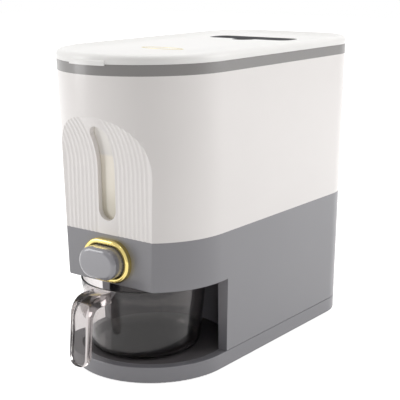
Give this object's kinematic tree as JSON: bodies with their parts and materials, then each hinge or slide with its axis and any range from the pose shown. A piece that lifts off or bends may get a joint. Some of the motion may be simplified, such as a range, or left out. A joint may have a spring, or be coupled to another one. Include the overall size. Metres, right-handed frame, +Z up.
{
  "type": "rice dispenser",
  "caption": "Tall rice bin with a round front, level window, push button and a see-through cup that slides out of a bay below.",
  "frame": {"origin": "on the floor under the middle of the base footprint, the underside of the middle foot", "axes": "+X to the right seen from the front, +Y to the back (the round end and the cup face -Y), +Z up"},
  "size_m": [0.201, 0.4261, 0.35],
  "materials": {
    "grey_base": "satin",
    "grey_housing": "satin",
    "grey_inner": "satin",
    "grey_band": "satin",
    "grip_grey": "satin",
    "white_shell": "semi-gloss",
    "white_lid": "semi-gloss",
    "inner_white": "satin",
    "button_grey": "semi-gloss",
    "gold": "polished",
    "steel": "plain",
    "silicone": "soft",
    "foot_rubber": "matte",
    "mat_rubber": "matte",
    "clear_lens": "clear plastic",
    "smoky_clear": "smoky clear plastic",
    "clear_handle": "lightly smoky clear plastic"
  },
  "bodies": {
    "housing": {"base_plate": "grey_base", "base_feet": "foot_rubber", "base_screws": "steel", "cup_mat": "mat_rubber", "lower_housing": "grey_housing", "bay_liner": "grey_inner", "gate_housing": "inner_white", "gate_screws": "steel", "outlet_seal": "silicone", "hopper_funnel": "inner_white", "body_shell": "white_shell", "window_gasket": "silicone", "window_lens": "clear_lens", "button_bezel": "gold", "collar_ring": "grey_band", "hinge_pin": "steel", "return_springs": "steel"},
    "button": {"button_cap": "button_grey", "button_stem": "inner_white", "cap_screws": "steel", "shutter_plate": "inner_white", "shutter_screws": "steel"},
    "cup": {"cup_bowl": "smoky_clear", "cup_handle": "clear_handle"},
    "lid": {"lid_cover": "white_lid", "lid_liner": "inner_white", "lid_gasket": "silicone", "grip_well": "grip_grey", "lid_inlay": "gold"}
  },
  "joints": [
    {"name": "button_press", "type": "slide", "parent": "housing", "child": "button", "axis": [0, 1, 0], "range_m": [0, 0.012], "stiffness_N_per_m": 450, "springref_m": -0.008, "deforming": ["return_springs"]},
    {"name": "cup_slide", "type": "slide", "parent": "housing", "child": "cup", "axis": [0, -1, 0], "range_m": [0, 0.2]},
    {"name": "lid_hinge", "type": "hinge", "parent": "housing", "child": "lid", "pos_m": [0, 0.20002, 0.3401], "axis": [-1, 0, 0], "range_deg": [0, 105]}
  ]
}
